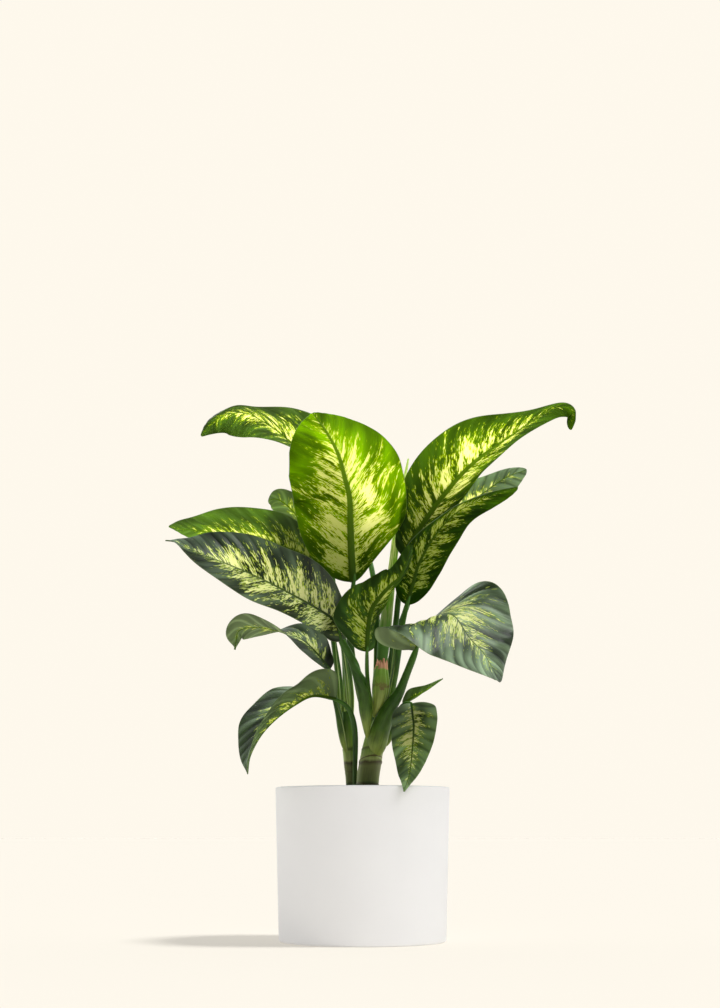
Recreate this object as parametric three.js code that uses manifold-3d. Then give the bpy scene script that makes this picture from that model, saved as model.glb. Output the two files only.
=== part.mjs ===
// Potted dieffenbachia in a plain cylindrical planter. Millimetres, +Z up, the origin in the middle of the
// pot's underside, and the side that is looked at from the front faces -Y.
import * as THREE from 'three';
import { mergeVertices } from 'three/addons/utils/BufferGeometryUtils.js';
import Module from 'manifold-3d';

const wasm = await Module();
wasm.setup();

// Driving dimensions
const POT_TOP_D = 200; // across the rim
const POT_BOTTOM_D = 189; // across the foot, so the wall leans out a little
const POT_HEIGHT = 171;
const POT_WALL = 7;
const POT_FLOOR = 9;
const SOIL_LEVEL = 151; // 20 below the rim
const SOIL_MOUND = 3; // higher in the middle than at the wall
const CLEARANCE = 0.3; // between pieces that touch
const BLADE = 0.9; // thickness of a leaf blade
const RIB_WIDE = 3.4; // half width of the midrib at the foot of the blade
const RIB_DEEP = 2.6; // how far it stands out below the blade there
const STEM_SIDES = 16;
const STALK_SIDES = 8;

// The two canes: centre line from the bottom of the hole up, with the radius at each point
const CANES = {
  cane_main: {
    line: [[6, -12, 118], [6, -12, 174], [10, -12, 205], [14, -9, 226], [18, -5, 246], [20, -1, 262]],
    r: [13, 13, 12.8, 12.5, 10.5, 6],
  },
  cane_left: {
    line: [[-12, 6, 118], [-12, 6, 175], [-14, 6, 197], [-16, 6, 219], [-18, 6, 243], [-20, 6, 258]],
    r: [6, 6, 7, 7.6, 7, 4],
  },
};

// The stump of an old leaf sheath in front of the crown, closed like a bud and torn at the top
const OLD_SHEATH = {
  line: [[14, -14, 250], [18, -16, 262], [21, -18, 282], [21.5, -18, 300], [22, -16, 318]],
  r: [3, 7, 10, 8.5, 4],
};

// The leaves. stalk and r: centre line and radii of the petiole from its foot to the blade. rib: the midrib
// from the foot of the blade to its tip. face: where the upper face looks at each rib point. half: half
// widths left and right of the rib at nine places along it. fold and curl: how many degrees each half rises
// from the rib, and bends on towards its edge, at foot, middle and tip. wave: height, count and phase of the
// waves along the edges. rows: how many strips the blade has along its length.
const LEAVES = {
  leaf_mid_right: {
    stalk: [[13, -15, 206], [18, -17, 226], [24, -20, 245], [32, -23, 262], [42, -26, 278],
      [51, -28, 300]],
    r: [11, 11, 9.8, 7.5, 5.4, 4.6],
    rib: [[60, -31, 326], [68, -51, 347], [85, -78, 360], [102, -98, 356], [118, -101, 332],
      [134, -108, 312], [151, -107, 282]],
    face: [[-0.9, 0.1, 0.4], [-0.7, 0.2, 0.7], [-0.4, -0.2, 0.9], [0.1, -0.7, 0.7], [0.3, -0.8, 0.5],
      [0.4, -0.8, 0.4], [0.7, -0.6, 0.5]],
    half: [[34, 59, 75, 80, 74, 66, 51, 33, 15], [26, 54, 68, 76, 76, 62, 48, 33, 16]],
    fold: [[10, 33], [-10, -4], [0, 16]], curl: [[-6, 13], [35, 14], [-17, 4]], wave: [1, 2, 0], rows: 18,
  },
  leaf_mid_left: {
    stalk: [[5, -20, 232], [4, -24, 252], [1, -28, 280], [-5, -31, 297], [-11, -34, 312],
      [-18, -37, 325]],
    r: [5, 7.6, 7.4, 7, 6, 4.6],
    rib: [[-24, -40, 336], [-32, -46, 357], [-51, -52, 370], [-93, -70, 391], [-132, -86, 408],
      [-182, -104, 426], [-207, -110, 437], [-220, -112, 439]],
    face: [[0, -1, -0.3], [0.2, -1, -0.2], [0.4, -0.9, 0.1], [0.5, -0.8, 0.3], [0.5, -0.8, 0.4],
      [0.5, -0.6, 0.6], [0.4, -0.3, 0.9], [0.1, 0, 1]],
    half: [[17, 28, 37, 44, 47, 44, 32, 20, 7], [14, 22, 38, 47, 45, 43, 37, 23, 8]],
    fold: [[30, 30], [15, 20], [5, 5]], curl: [[20, 20], [10, 10], [-5, -5]], wave: [1, 3, 1], rows: 13,
  },
  leaf_small_front: {
    stalk: [[11, -16, 258], [8, -25, 274], [6, -37, 289], [5, -51, 302]],
    r: [2.6, 2.4, 2.4, 2.4],
    rib: [[4, -66, 320], [6, -70, 345], [10, -73, 366], [20, -76, 381], [32, -77, 394], [42, -78, 403],
      [50, -79, 420], [56, -80, 440]],
    face: [[-0.7, 0.7, 0.2], [-0.7, 0.7, 0.2], [-0.3, 0.9, 0.3], [-0.1, 0.9, 0.3], [-0.2, 0.9, 0.3],
      [-0.3, 0.9, 0.3], [-0.3, 0.9, 0.2], [-0.3, 0.9, 0.1]],
    half: [[15, 23, 30, 33, 31, 26, 19, 12, 6], [14, 25, 39, 39, 30, 21, 14, 10, 6]],
    fold: [[10, 10], [60, 45], [50, 45]], curl: [[0, 0], [0, 0], [0, 0]], wave: [0.8, 3, 2], rows: 13,
  },
  leaf_top_front: {
    stalk: [[4, -2, 250], [-3, -6, 282], [-12, -12, 322], [-15, -20, 356]],
    r: [5, 4.6, 4.2, 3.8],
    rib: [[-11, -30, 405], [-13, -36, 437], [-14, -43, 468], [-15, -51, 500], [-20, -56, 521],
      [-28, -62, 549], [-42, -66, 575], [-58, -66, 598]],
    face: [[-0.5, 0.9, 0.1], [-0.3, 0.9, 0.2], [-0.1, 1, 0.2], [0, 1, 0.2], [0.1, 1, 0.2],
      [-0.1, 1, 0.1], [-0.3, 1, -0.1], [-0.4, 0.9, -0.3]],
    half: [[17, 34, 51, 66, 67, 66, 50, 33, 15], [20, 39, 53, 63, 67, 64, 58, 46, 25]],
    fold: [[20, 15], [5, 5], [5, 0]], curl: [[15, 10], [5, 10], [15, 5]], wave: [1.2, 3, 0], rows: 12,
  },
  leaf_rolled: {
    stalk: [[20, -1, 252], [21, -1, 290], [23, 0, 323], [29, 3, 377], [35, 4, 425], [41, 3, 473],
      [48, 1, 521], [55, 0, 559]],
    r: [5.5, 5.5, 7.5, 6.5, 5, 4.5, 3, 0.9],
  },
  leaf_top_right: {
    stalk: [[26, 4, 250], [30, 12, 283], [34, 13, 313], [37, 12, 342], [42, 8, 389]],
    r: [5, 4.4, 4.4, 4, 3.6],
    rib: [[49, 4, 441], [59, -2, 460], [95, -20, 509], [130, -38, 545], [180, -56, 579], [221, -66, 604],
      [244, -72, 599], [241, -74, 576]],
    face: [[-0.8, 0.2, 0.5], [-0.6, 0.6, 0.6], [-0.4, 0.7, 0.6], [-0.4, 0.5, 0.8], [-0.5, 0.2, 0.8],
      [-0.3, 0.1, 0.9], [0.8, 0.2, 0.5], [0.7, 0.7, -0.2]],
    half: [[16, 31, 45, 51, 51, 45, 32, 14, 7], [15, 27, 44, 53, 54, 47, 30, 17, 8]],
    fold: [[25, 25], [20, 25], [-15, -15]], curl: [[10, 10], [0, 5], [-25, -25]], wave: [1.2, 3, 1],
      rows: 16,
  },
  leaf_upper_right: {
    stalk: [[28, -4, 246], [34, 1, 283], [38, 0, 304], [42, -3, 329], [47, -9, 361]],
    r: [5, 4.6, 4.4, 4, 3.6],
    rib: [[51, -14, 381], [58, -17, 404], [66, -20, 430], [84, -25, 461], [110, -31, 488],
      [145, -40, 504], [181, -47, 514]],
    face: [[-0.6, 0.8, 0.3], [-0.6, 0.8, 0.3], [-0.6, 0.7, 0.4], [-0.6, 0.6, 0.5], [-0.5, 0.4, 0.8],
      [-0.3, 0.3, 0.9], [-0.2, 0.2, 1]],
    half: [[13, 25, 34, 38, 38, 32, 27, 19, 9], [13, 24, 32, 34, 31, 26, 19, 12, 5]],
    fold: [[4, 8], [-2, -10], [-3, -3]], curl: [[-7, -3], [-11, -15], [-14, -14]], wave: [1, 3, 0],
      rows: 12,
  },
  leaf_bottom_right: {
    stalk: [[28, -6, 222], [34, -8, 240], [40, -12, 255], [48, -18, 264]],
    r: [4.6, 4, 3.4, 3],
    rib: [[56, -24, 265], [57, -31, 252], [58, -42, 238], [56, -64, 216], [52, -86, 186],
      [45, -106, 164]],
    face: [[0, -0.9, 0.5], [-0.1, -0.8, 0.5], [-0.1, -0.7, 0.7], [-0.1, -0.7, 0.6], [-0.1, -0.8, 0.6],
      [-0.1, -0.7, 0.7]],
    half: [[17, 28, 29, 27, 24, 18, 11, 5, 2], [12, 22, 25, 25, 23, 18, 13, 6, 2]],
    fold: [[20, 16], [14, 2], [12, 0]], curl: [[2, 0], [-3, -12], [-9, -15]], wave: [0.8, 2, 0],
      rows: 11,
  },
  leaf_narrow_right: {
    stalk: [[22, 2, 224], [30, 7, 238], [37, 10, 251], [42, 11, 260]],
    r: [4, 3.6, 3, 2.4],
    rib: [[47, 12, 267], [58, 16, 276], [74, 20, 284], [95, 26, 298]],
    face: [[-0.7, 0.4, 0.6], [-0.6, 0.4, 0.7], [-0.5, 0.2, 0.8], [-0.5, 0.1, 0.8]],
    half: [[4, 8, 12, 13, 13, 11, 8, 5, 2], [4, 8, 13, 13, 12, 10, 7, 4, 1]],
    fold: [[15, 20], [10, 10], [10, 10]], curl: [[0, 0], [0, 0], [0, 0]], wave: [0.5, 2, 0], rows: 8,
  },
  leaf_back: {
    stalk: [[16, 8, 250], [17, 18, 284], [18, 28, 332], [16, 40, 394], [12, 52, 430]],
    r: [4.6, 4.6, 4.2, 3.8, 3.4],
    rib: [[4, 70, 466], [-5, 92, 505], [-14, 118, 541], [-22, 150, 574], [-27, 182, 597],
      [-30, 212, 604]],
    face: [[0, -0.7, 0.7], [0, -0.7, 0.7], [0, -0.6, 0.8], [0, -0.5, 0.9], [0, -0.3, 0.9], [0, 0, 1]],
    half: [[16, 32, 44, 52, 52, 46, 36, 24, 10], [16, 32, 44, 52, 52, 46, 36, 24, 10]],
    fold: [[10, 10], [10, 10], [5, 5]], curl: [[-5, -5], [-5, -5], [-5, -5]], wave: [3, 3, 0], rows: 12,
  },
  leaf_back_right: {
    stalk: [[23, 9, 252], [27, 22, 290], [35, 27, 325], [45, 26, 362]],
    r: [4.6, 4.6, 4, 3.4],
    rib: [[56, 28, 392], [69, 36, 434], [89, 40, 475], [114, 36, 499], [148, 24, 523], [174, 13, 539],
      [197, 4, 546]],
    face: [[-0.3, -0.9, 0.3], [-0.3, -0.9, 0.2], [-0.3, -0.9, 0.2], [-0.5, -0.8, 0.3], [-0.5, -0.8, 0.3],
      [-0.5, -0.8, 0.3], [-0.4, -0.8, 0.4]],
    half: [[10, 17, 23, 29, 29, 26, 17, 11, 6], [3, 8, 15, 22, 24, 22, 23, 21, 9]],
    fold: [[27, 21], [41, 25], [-2, -18]], curl: [[0, 0], [0, 0], [0, 0]], wave: [1, 2, 0], rows: 12,
  },
  leaf_bottom_left: {
    stalk: [[-8.5, -5.5, 122], [-8.5, -5.5, 177], [-8, -6, 213], [-9, -10, 238], [-13, -14, 254],
      [-20, -17, 264]],
    r: [2.4, 2.4, 2.8, 3.2, 3.4, 3],
    rib: [[-31, -20, 271], [-57, -30, 274], [-78, -38, 263], [-99, -46, 246], [-115, -52, 227],
      [-126, -56, 204], [-128, -58, 184]],
    face: [[0, 0.4, 0.9], [-0.2, 0.1, 1], [-0.5, -0.2, 0.8], [-0.6, -0.2, 0.7], [-0.8, -0.3, 0.6],
      [-0.9, -0.3, 0.3], [-1, -0.1, 0.1]],
    half: [[19, 36, 45, 48, 49, 44, 32, 19, 6], [15, 29, 40, 46, 49, 44, 31, 16, 5]],
    fold: [[30, 25], [25, 30], [15, 15]], curl: [[0, 0], [0, 0], [0, 0]], wave: [1, 3, 0], rows: 13,
  },
  leaf_low_left: {
    stalk: [[-19, 1, 214], [-24, -1, 237], [-28, -3, 257], [-32, -5, 273], [-34, -7, 288]],
    r: [4.6, 5, 4.2, 3.4, 3],
    rib: [[-38, -8, 306], [-52, -12, 322], [-69, -18, 338], [-94, -26, 348], [-120, -34, 352],
      [-142, -40, 347], [-146, -42, 325]],
    face: [[0.5, -0.9, 0.2], [0.6, -0.7, 0.4], [0.6, -0.5, 0.7], [0.3, -0.1, 1], [-0.1, 0.2, 1],
      [-0.7, 0.5, 0.5], [-0.6, 0.8, 0.1]],
    half: [[9, 18, 26, 31, 34, 32, 26, 15, 2], [9, 15, 27, 37, 35, 31, 22, 10, 2]],
    fold: [[35, 40], [-5, -5], [10, 10]], curl: [[0, 0], [0, 0], [0, 0]], wave: [1, 2, 1], rows: 13,
  },
  leaf_upper_left: {
    stalk: [[-24, 9, 240], [-26, 14, 270], [-28, 18, 300], [-34, 23, 344], [-40, 26, 392]],
    r: [4.4, 4.2, 4, 3.6, 3.2],
    rib: [[-49, 28, 433], [-81, 36, 452], [-122, 46, 468], [-168, 54, 478], [-205, 60, 483],
      [-238, 64, 488]],
    face: [[0.4, 0.8, 0.4], [0.4, 0.7, 0.5], [0.3, 0.6, 0.7], [0.2, 0.5, 0.8], [0.2, 0.4, 0.9],
      [0.2, 0.3, 0.9]],
    half: [[14, 27, 39, 46, 50, 42, 33, 20, 7], [13, 26, 38, 46, 49, 44, 33, 19, 5]],
    fold: [[10, 5], [0, 0], [0, 0]], curl: [[0, 0], [0, 0], [0, 0]], wave: [2, 3, 2], rows: 12,
  },
  leaf_top_left: {
    stalk: [[-13, 14, 240], [-15, 21, 284], [-21, 28, 332], [-32, 36, 387], [-37, 40, 443]],
    r: [4.4, 4.4, 4.2, 3.8, 3.4],
    rib: [[-39, 44, 505], [-59, 50, 559], [-89, 54, 594], [-120, 58, 619], [-149, 62, 633],
      [-180, 66, 627], [-201, 68, 604]],
    face: [[0.9, 0.4, 0.3], [0.8, 0.3, 0.4], [0.7, 0.2, 0.7], [0.6, 0.1, 0.8], [0.1, 0.2, 1],
      [-0.4, 0.4, 0.8], [-0.4, 0.8, 0.5]],
    half: [[16, 33, 51, 63, 66, 56, 41, 25, 10], [16, 33, 49, 60, 64, 57, 38, 20, 6]],
    fold: [[45, 45], [10, 15], [-25, -30]], curl: [[25, 25], [-10, -5], [-40, -45]], wave: [1.2, 3, 0],
      rows: 14,
  },
  leaf_small_left: {
    stalk: [[-17, 16, 244], [-19, 25, 273], [-22, 36, 333], [-34, 46, 389], [-44, 52, 420]],
    r: [4, 4, 3.6, 3, 2.6],
    rib: [[-46, 58, 439], [-62, 62, 471], [-77, 64, 497], [-91, 60, 513], [-105, 54, 521],
      [-115, 48, 518]],
    face: [[0.9, 0.2, 0.4], [0.8, 0.3, 0.4], [0.7, 0.5, 0.5], [0.4, 0.6, 0.7], [-0.1, 0.6, 0.8],
      [-0.5, 0.6, 0.6]],
    half: [[9, 17, 26, 31, 33, 30, 22, 16, 7], [9, 17, 26, 31, 33, 31, 25, 16, 7]],
    fold: [[5, 5], [5, 10], [5, 5]], curl: [[0, 0], [0, 0], [0, 0]], wave: [1.5, 2, 0], rows: 10,
  },
};

// Colours, roughness
const WHITE_CERAMIC = new THREE.MeshStandardMaterial({ color: 0xecebe6, roughness: 0.6, metalness: 0 });
const SOIL_DARK = new THREE.MeshStandardMaterial({ color: 0x2e241c, roughness: 1, metalness: 0 });
const CANE_GREEN = new THREE.MeshStandardMaterial({ color: 0x7f9150, roughness: 0.6, metalness: 0 });
const SHEATH_GREEN = new THREE.MeshStandardMaterial({ color: 0x6f8a35, roughness: 0.6, metalness: 0 });
const LEAF_GREEN = new THREE.MeshStandardMaterial({ color: 0x3f7320, roughness: 0.4, metalness: 0 });
const NEW_GREEN = new THREE.MeshStandardMaterial({ color: 0xb9cf6a, roughness: 0.5, metalness: 0 });

const plant = new THREE.Group();

function add(name, geometry, material) {
  const mesh = new THREE.Mesh(geometry, material);
  mesh.name = name;
  plant.add(mesh);
}

// Joins and cuts: a geometry made a solid, and a solid made a geometry again
function solid(geometry) {
  const bare = geometry.clone();
  bare.deleteAttribute('normal');
  bare.deleteAttribute('uv');
  const merged = mergeVertices(bare, 1e-4);
  return new wasm.Manifold(new wasm.Mesh({
    numProp: 3,
    vertProperties: new Float32Array(merged.attributes.position.array),
    triVerts: new Uint32Array(merged.index.array),
  }));
}

function largest(body) {
  return body.decompose().sort((a, b) => b.volume() - a.volume())[0];
}

function shape(body) {
  const mesh = body.getMesh();
  const geometry = new THREE.BufferGeometry();
  geometry.setAttribute('position', new THREE.BufferAttribute(new Float32Array(mesh.vertProperties), 3));
  geometry.setIndex([...mesh.triVerts]);
  geometry.computeVertexNormals();
  return geometry;
}

// Smooth values through a list of numbers or points, at t from 0 (first) to 1 (last)
function through(list) {
  const points = list.map((value) => new THREE.Vector3(...[value].flat()));
  return new THREE.CatmullRomCurve3(points, false, 'catmullrom', 0.5);
}

// A round stem with closed ends along a centre line: a cylinder whose rings are set along the curve
function stem(line, r, sides, grow = 0, rings = 3 * (line.length - 1)) {
  const path = through(line);
  const radius = through(r);
  const frames = path.computeFrenetFrames(rings);
  const geometry = new THREE.CylinderGeometry(1, 1, 1, sides, rings);
  const place = geometry.attributes.position;
  for (let i = 0; i < place.count; i++) {
    const ring = Math.round((place.getY(i) + 0.5) * rings);
    const wide = radius.getPoint(path.getUtoTmapping(ring / rings)).x + grow;
    const point = path.getPointAt(ring / rings)
      .addScaledVector(frames.binormals[ring], wide * place.getX(i))
      .addScaledVector(frames.normals[ring], wide * place.getZ(i));
    if (ring === 0) point.addScaledVector(frames.tangents[0], -grow);
    if (ring === rings) point.addScaledVector(frames.tangents[rings], grow);
    place.setXYZ(i, point.x, point.y, point.z);
  }
  return geometry;
}

// A leaf blade: a thin sheet with the same split on both faces, its midrib standing out below
const COLUMNS = [-1, -0.58, -0.22, 'foot', 'crest', 'foot', 0.22, 0.58, 1];

function blade(leaf) {
  const path = through(leaf.rib);
  const facing = through(leaf.face);
  const half = leaf.half.map((side) => through([0, ...side, 0]));
  const fold = [0, 1].map((side) => through(leaf.fold.map((pair) => pair[side])));
  const curl = [0, 1].map((side) => through(leaf.curl.map((pair) => pair[side])));
  const [high, count, phase] = leaf.wave;
  const { rows } = leaf;
  const columns = COLUMNS.length;
  const upper = [];
  const lower = [];
  for (let j = 0; j <= rows; j++) {
    const step = j / rows;
    const v = (1 - Math.cos(Math.PI * step)) / 2;
    const t = path.getUtoTmapping(v);
    const middle = path.getPoint(t);
    const ahead = path.getTangent(t);
    const up = facing.getPoint(t);
    up.addScaledVector(ahead, -up.dot(ahead)).normalize();
    const right = new THREE.Vector3().crossVectors(ahead, up);
    COLUMNS.forEach((column, i) => {
      const side = i > 4 ? 1 : 0;
      const sign = side ? 1 : -1;
      const wide = Math.max(half[side].getPoint(step).x, 1.2);
      const rib = Math.min((RIB_WIDE * (1 - v) + 0.8) / wide, 0.6);
      const out = { crest: 0, foot: rib }[column] ?? rib + (1 - rib) * Math.abs(column);
      const rise = THREE.MathUtils.degToRad(fold[side].getPoint(v).x);
      const turn = THREE.MathUtils.degToRad(curl[side].getPoint(v).x);
      const bend = Math.abs(turn) < 1e-4 ? 1e-4 : turn;
      const along = wide * (Math.sin(rise + bend * out) - Math.sin(rise)) / bend;
      const ripple = high * out ** 2 * Math.min(wide / 40, 1)
        * Math.sin(2 * Math.PI * count * v + phase + 1.9 * side);
      const lift = wide * (Math.cos(rise) - Math.cos(rise + bend * out)) / bend + ripple;
      const slope = rise + bend * out;
      const normal = up.clone().multiplyScalar(column === 'crest' ? 1 : Math.cos(slope));
      if (column !== 'crest') normal.addScaledVector(right, -sign * Math.sin(slope));
      const point = middle.clone().addScaledVector(right, sign * along).addScaledVector(up, lift);
      const deep = column === 'crest' ? RIB_DEEP * (1 - v) ** 0.8 : 0;
      upper.push(point.clone().addScaledVector(normal, BLADE / 2));
      lower.push(point.clone().addScaledVector(normal, -BLADE / 2 - deep));
    });
  }
  const grid = new THREE.PlaneGeometry(1, 1, columns - 1, rows).index.array;
  const below = upper.length;
  const faces = [];
  for (let k = 0; k < grid.length; k += 3) {
    faces.push(grid[k], grid[k + 2], grid[k + 1]);
    faces.push(grid[k] + below, grid[k + 1] + below, grid[k + 2] + below);
  }
  const rim = [];
  for (let i = 0; i < columns - 1; i++) rim.push(i);
  for (let j = 0; j < rows; j++) rim.push(j * columns + columns - 1);
  for (let i = columns - 1; i > 0; i--) rim.push(rows * columns + i);
  for (let j = rows; j > 0; j--) rim.push(j * columns);
  rim.forEach((a, k) => {
    const b = rim[(k + 1) % rim.length];
    faces.push(a, a + below, b + below, a, b + below, b);
  });
  const geometry = new THREE.BufferGeometry();
  geometry.setAttribute('position', new THREE.Float32BufferAttribute(
    [...upper, ...lower].flatMap((point) => point.toArray()), 3));
  geometry.setIndex(faces);
  return geometry;
}

// The petiole runs on a little way under the blade, sunk in the midrib
function petiole(leaf, grow = 0) {
  if (!leaf.rib) return stem(leaf.stalk, leaf.r, STALK_SIDES, grow, 12);
  const path = through(leaf.rib);
  const [foot, run] = [0, 0.06].map((v) => {
    const t = path.getUtoTmapping(v);
    const ahead = path.getTangent(t);
    const up = through(leaf.face).getPoint(t);
    up.addScaledVector(ahead, -up.dot(ahead)).normalize();
    return path.getPoint(t).addScaledVector(up, -1.3).toArray();
  });
  const end = leaf.r[leaf.r.length - 1];
  const rings = leaf.stalk.length + 4;
  return stem([...leaf.stalk, foot, run], [...leaf.r, end * 0.9, 1.5], STALK_SIDES, grow, rings);
}

// Pot: one hollow turned piece with a slightly rounded rim and foot
const inside = (z) => (POT_BOTTOM_D + (POT_TOP_D - POT_BOTTOM_D) * z / POT_HEIGHT) / 2 - POT_WALL;
const soilWall = (z) => inside(z) - CLEARANCE - 0.6;
const pot = new THREE.LatheGeometry([
  [0, 0], [POT_BOTTOM_D / 2 - 3, 0], [POT_BOTTOM_D / 2 - 0.9, 0.9], [POT_BOTTOM_D / 2, 3],
  [POT_TOP_D / 2, POT_HEIGHT - 2], [POT_TOP_D / 2 - 0.6, POT_HEIGHT - 0.6], [POT_TOP_D / 2 - 2, POT_HEIGHT],
  [POT_TOP_D / 2 - POT_WALL + 2, POT_HEIGHT], [inside(POT_HEIGHT - 2), POT_HEIGHT - 2],
  [inside(POT_FLOOR + 4), POT_FLOOR + 4], [inside(POT_FLOOR) - 4, POT_FLOOR], [0, POT_FLOOR],
].map(([x, z]) => new THREE.Vector2(x, z)), 48);
pot.rotateX(Math.PI / 2);
add('pot', pot, WHITE_CERAMIC);

// Canes and the old sheath
const grown = {};
for (const [name, cane] of Object.entries(CANES)) {
  const body = largest(solid(stem(cane.line, cane.r, STEM_SIDES)));
  grown[name] = solid(stem(cane.line, cane.r, STEM_SIDES, CLEARANCE + 0.05));
  add(name, shape(body), CANE_GREEN);
}

// Leaves, each cut clear of the canes and of the stalks before it
for (const [name, leaf] of Object.entries(LEAVES)) {
  let body = solid(petiole(leaf));
  for (const other of Object.values(grown)) body = body.subtract(other);
  if (leaf.rib) body = body.add(solid(blade(leaf)));
  body = largest(body);
  grown[name] = solid(petiole(leaf, CLEARANCE + 0.05));
  add(name, shape(body), name === 'leaf_rolled' ? NEW_GREEN : LEAF_GREEN);
}

let sheath = solid(stem(OLD_SHEATH.line, OLD_SHEATH.r, STEM_SIDES));
for (const other of Object.values(grown)) sheath = sheath.subtract(other);
add('old_sheath', shape(largest(sheath)), SHEATH_GREEN);

// Soil: fills the pot to a little below the rim, with a plain hole for each stem that stands in it
const soilTurn = new THREE.LatheGeometry([
  [0, POT_FLOOR + CLEARANCE], [inside(POT_FLOOR) - 5, POT_FLOOR + CLEARANCE],
  [soilWall(POT_FLOOR + 5), POT_FLOOR + 5], [soilWall(SOIL_LEVEL), SOIL_LEVEL],
  [inside(SOIL_LEVEL) * 0.6, SOIL_LEVEL + SOIL_MOUND], [0, SOIL_LEVEL + SOIL_MOUND],
].map(([x, z]) => new THREE.Vector2(x, z)), 40);
soilTurn.rotateX(Math.PI / 2);
let soil = solid(soilTurn);
for (const name of ['cane_main', 'cane_left', 'leaf_bottom_left']) {
  const [x, y, z] = (CANES[name]?.line ?? LEAVES[name].stalk)[0];
  const r = (CANES[name] ?? LEAVES[name]).r[0] + CLEARANCE + 0.3;
  const hole = new THREE.CylinderGeometry(r, r, 60, STEM_SIDES);
  hole.rotateX(Math.PI / 2);
  hole.translate(x, y, z + 30 - CLEARANCE);
  soil = soil.subtract(solid(hole));
}
add('soil', shape(soil), SOIL_DARK);

export default plant;
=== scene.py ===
import math

import bmesh
import bpy
import numpy as np
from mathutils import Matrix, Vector, noise


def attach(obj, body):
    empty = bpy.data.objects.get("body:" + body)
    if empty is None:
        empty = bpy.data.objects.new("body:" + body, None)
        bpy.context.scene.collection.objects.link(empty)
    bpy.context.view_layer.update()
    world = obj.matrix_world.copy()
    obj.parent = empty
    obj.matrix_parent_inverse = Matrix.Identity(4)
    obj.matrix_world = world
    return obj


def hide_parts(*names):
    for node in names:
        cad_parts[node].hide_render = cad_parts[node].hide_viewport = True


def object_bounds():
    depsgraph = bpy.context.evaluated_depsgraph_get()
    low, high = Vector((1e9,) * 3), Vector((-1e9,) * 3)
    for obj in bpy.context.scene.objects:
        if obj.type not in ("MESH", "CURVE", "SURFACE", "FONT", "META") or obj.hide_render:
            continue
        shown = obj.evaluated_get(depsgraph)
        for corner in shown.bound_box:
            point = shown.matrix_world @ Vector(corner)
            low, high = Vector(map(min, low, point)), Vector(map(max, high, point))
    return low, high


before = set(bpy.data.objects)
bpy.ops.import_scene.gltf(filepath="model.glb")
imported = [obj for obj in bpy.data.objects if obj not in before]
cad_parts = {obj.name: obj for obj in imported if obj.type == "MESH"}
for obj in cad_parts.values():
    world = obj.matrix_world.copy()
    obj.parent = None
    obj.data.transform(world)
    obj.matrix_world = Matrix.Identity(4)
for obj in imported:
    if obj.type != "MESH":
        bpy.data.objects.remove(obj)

cad_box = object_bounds()
mm = 0.001


# Pot. A plain cylindrical planter of white earthenware with a matt glaze, cast in a mould: its wall leans out
# a little, its rim and foot are softly rounded, and it is open at the top. It stands on its flat underside.
POT_TOP, POT_FOOT, POT_HIGH = 100 * mm, 94.5 * mm, 171 * mm
POT_WALL, POT_FLOOR = 7 * mm, 9 * mm
POT_ROUNDS = ((POT_HIGH, 2.2 * mm), (0, 2.4 * mm), (POT_FLOOR, 5 * mm))  # height of an edge, and its rounding


def begin(name, add, **size):
    """Adds a primitive with nothing else selected, and names it."""
    bpy.ops.object.select_all(action="DESELECT")
    add(**size)
    bpy.context.object.name = bpy.context.object.data.name = name
    return bpy.context.object


def pick(test, kind="EDGE"):
    """Selects, in edit mode, the edges or faces whose points all pass the test."""
    bpy.ops.mesh.select_mode(type=kind)
    bpy.ops.mesh.select_all(action="DESELECT")
    mesh = bmesh.from_edit_mesh(bpy.context.object.data)
    for part in mesh.edges if kind == "EDGE" else mesh.faces:
        if all(test(point.co) for point in part.verts):
            part.select_set(True)
    bmesh.update_edit_mesh(bpy.context.object.data)


def pick_open():
    """Selects, in edit mode, the edges round the mesh's openings."""
    bpy.ops.mesh.select_mode(type="EDGE")
    bpy.ops.mesh.select_all(action="DESELECT")
    bpy.ops.mesh.select_non_manifold()


def settle(degrees):
    """Turns all faces outwards, leaves edit mode and smooths every edge that is less sharp than that."""
    bpy.ops.mesh.select_all(action="SELECT")
    bpy.ops.mesh.normals_make_consistent(inside=False)
    bpy.ops.object.mode_set(mode="OBJECT")
    bpy.ops.object.shade_smooth_by_angle(angle=math.radians(degrees))


pot = begin("planter", bpy.ops.mesh.primitive_circle_add, vertices=192, radius=POT_FOOT, fill_type="NGON")
bpy.ops.object.mode_set(mode="EDIT")
bpy.ops.mesh.select_all(action="SELECT")
bpy.ops.mesh.extrude_region_move(TRANSFORM_OT_translate={"value": (0, 0, POT_HIGH)})
bpy.ops.transform.resize(value=(POT_TOP / POT_FOOT, POT_TOP / POT_FOOT, 1))
bpy.ops.mesh.inset(thickness=POT_WALL)
bpy.ops.mesh.extrude_region_move(TRANSFORM_OT_translate={"value": (0, 0, POT_FLOOR - POT_HIGH)})
inner = (POT_FOOT + (POT_TOP - POT_FOOT) * POT_FLOOR / POT_HIGH - POT_WALL) / (POT_TOP - POT_WALL)
bpy.ops.transform.resize(value=(inner, inner, 1))
for level, rounding in POT_ROUNDS:
    pick(lambda p: abs(p.z - level) < 1e-5)
    bpy.ops.mesh.bevel(offset=rounding, segments=6, affect="EDGES")
settle(40)


def colour(text):
    """An sRGB hex colour as the linear values that the shaders take."""
    parts = [int(text[i:i + 2], 16) / 255 for i in (1, 3, 5)]
    return [c / 12.92 if c <= 0.04045 else ((c + 0.055) / 1.055) ** 2.4 for c in parts] + [1]


def finish(name):
    """A new material, and its tree, still empty."""
    made = bpy.data.materials.new(name)
    made.use_nodes = True
    made.node_tree.nodes.clear()
    return made, made.node_tree


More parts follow.
